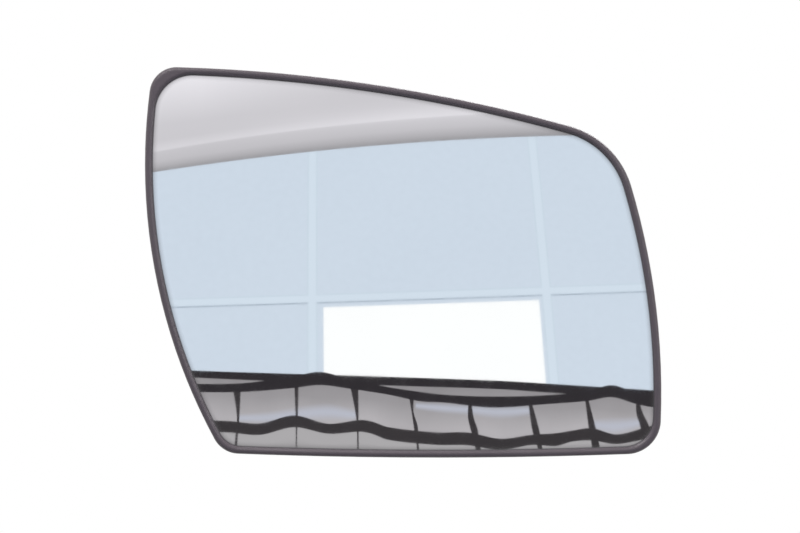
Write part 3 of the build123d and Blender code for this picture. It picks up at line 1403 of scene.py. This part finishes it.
    def build(self, view: FrontView, glass: MirrorGlass) -> list[bpy.types.Object]:
        """Lay the grid where the camera sees it in the glass.

        Args:
            view: The camera that sees it.
            glass: The mirror that it shows in.

        Returns:
            Its cards.
        """
        cloth, slack_cloth, sheen = self.cloth.material(), self.slack_cloth.material(), self.sheen.material()
        foot = [(x, self.foot_mm, 0.0) for x, _, _ in self.lower_mm]
        band = self.strip(Run.ACROSS, self.band_mm, Layer.BAND, self.band_pieces)
        upper = self.strip(Run.ACROSS, self.upper_mm, Layer.BAND, self.slack_pieces)
        lower = self.strip(Run.ACROSS, self.lower_mm, Layer.BAND, self.slack_pieces)
        laid = [
            (self.between(self.band_mm, self.lower_mm), "grid_diffuser", self.cell.material()),
            (self.between(self.lower_mm, foot), "grid_lower_diffuser", self.lower_cell.material()),
            (band, "grid_band", cloth),
            (upper, "grid_upper_band", cloth),
            (lower, "grid_lower_band", slack_cloth),
        ]
        for knots in self.sheens_mm:
            laid.append((self.strip(Run.ACROSS, knots, Layer.SHEEN, self.sheen_pieces), "grid_sheen", sheen))
        for knots in self.crosses_mm:
            cross = self.strip(Run.UPRIGHT, knots, Layer.CROSS, self.cross_pieces)
            laid.append((cross, "grid_cross", slack_cloth))
        laid += [(strip, "grid_frame", cloth) for strip in self.frame_strips()]
        cards = []
        for strip, name, finish in laid:
            card = strip.build(name, view, glass)
            card.data.materials.append(finish)
            reflections_only(card)
            cards.append(card)
        return cards


@dataclass(frozen=True)
class SoftLamp:
    """A square soft lamp that faces the part."""

    name: str
    place: Triple
    width: float
    watts: float
    tone: Colour = WHITE

    def build(self) -> bpy.types.Object:
        """Hang the lamp.

        Returns:
            The lamp.
        """
        bpy.ops.object.light_add(type="AREA", location=self.place)
        lamp = bpy.context.active_object
        lamp.name = self.name
        lamp.data.shape = "SQUARE"
        lamp.data.size = self.width
        lamp.data.energy = self.watts
        lamp.data.color = self.tone
        lamp.rotation_euler = Vector(self.place).to_track_quat("Z", "Y").to_euler()
        return lamp


@dataclass
class Studio:
    """Floor, surroundings, lamps and reflection cards."""

    floor_drop: float = 0.06
    floor_width: float = 16.0
    floor_cells: int = 8
    ambient: Span = (0.14, 0.78)
    horizon: Span = (-0.5, 0.5)
    floor_finish: PaleFloor = field(default_factory=PaleFloor)
    wall: PanelWall = field(default_factory=PanelWall)
    sweep: PaperSweep = field(default_factory=PaperSweep)
    grid: ClothGrid = field(default_factory=ClothGrid)
    lamps: tuple[SoftLamp, ...] = (
        SoftLamp("key_lamp", (-0.85, -1.0, 1.7), 0.9, 26.0),
        SoftLamp("fill_lamp", (1.3, -0.9, 0.45), 0.9, 7.0),
        SoftLamp("rear_lamp", (0.5, 1.3, 1.1), 0.9, 17.0),
    )

    def floor(self, lowest: float) -> bpy.types.Object:
        """Lay the floor below the part, which its mount holds up.

        Args:
            lowest: Height of the part's lowest point.

        Returns:
            The floor.
        """
        floor = unit_grid("floor", self.floor_cells, self.floor_cells)
        floor.scale = (self.floor_width, self.floor_width, 1.0)
        settle(floor)
        floor.location.z = lowest - self.floor_drop
        floor.data.materials.append(self.floor_finish.material())
        floor.visible_glossy = False
        floor.visible_diffuse = False
        floor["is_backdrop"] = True
        return floor

    def surroundings(self) -> None:
        """Light the part softly, more from above than from below, on a background that shows white."""
        board = Board(bpy.data.worlds.new("even_white"))
        height = board.node("SeparateXYZ", {"Vector": board.coordinates("Generated")}).outputs["Z"]
        ambient = board.fit(height, self.horizon, self.ambient)
        level = board.fit(board.seen(), (0.0, 1.0), (ambient, 1.0))
        white = board.node("Background", {"Color": (*WHITE, 1.0), "Strength": level})
        bpy.context.scene.world = board.finish(white)

    def build(self, lowest: float, view: FrontView, glass: MirrorGlass) -> list[bpy.types.Object]:
        """Set the studio up.

        Args:
            lowest: Height of the part's lowest point.
            view: The camera.
            glass: The mirror that the cards show in.

        Returns:
            Everything that stands in the studio.
        """
        self.surroundings()
        things = [self.floor(lowest), self.wall.build(), self.sweep.build(view, glass)]
        things += self.grid.build(view, glass)
        return things + [lamp.build() for lamp in self.lamps]


def main() -> None:
    """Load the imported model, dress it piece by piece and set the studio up."""
    logging.basicConfig(level=logging.INFO, format="%(name)s: %(message)s")
    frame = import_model()
    cad_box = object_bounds()
    nodes = frame["nodes"]
    bpy.context.scene.view_settings.view_transform = "Standard"
    mirror = MirrorGlass()
    view = FrontView()
    LOG.info("seen by %s", view.build().name)
    pieces = mirror.build(nodes)
    pieces += BackingPlate().build(nodes, mirror.centre())
    pieces += HeaterSet().build(nodes)
    for piece in pieces:
        LOG.info("%s: %d faces in %s", piece.name, len(piece.data.polygons), piece.data.materials[0].name)
    for thing in Studio().build(cad_box[0].z, view, mirror):
        LOG.info("in the studio: %s", thing.name)


if __name__ == "__main__":
    main()
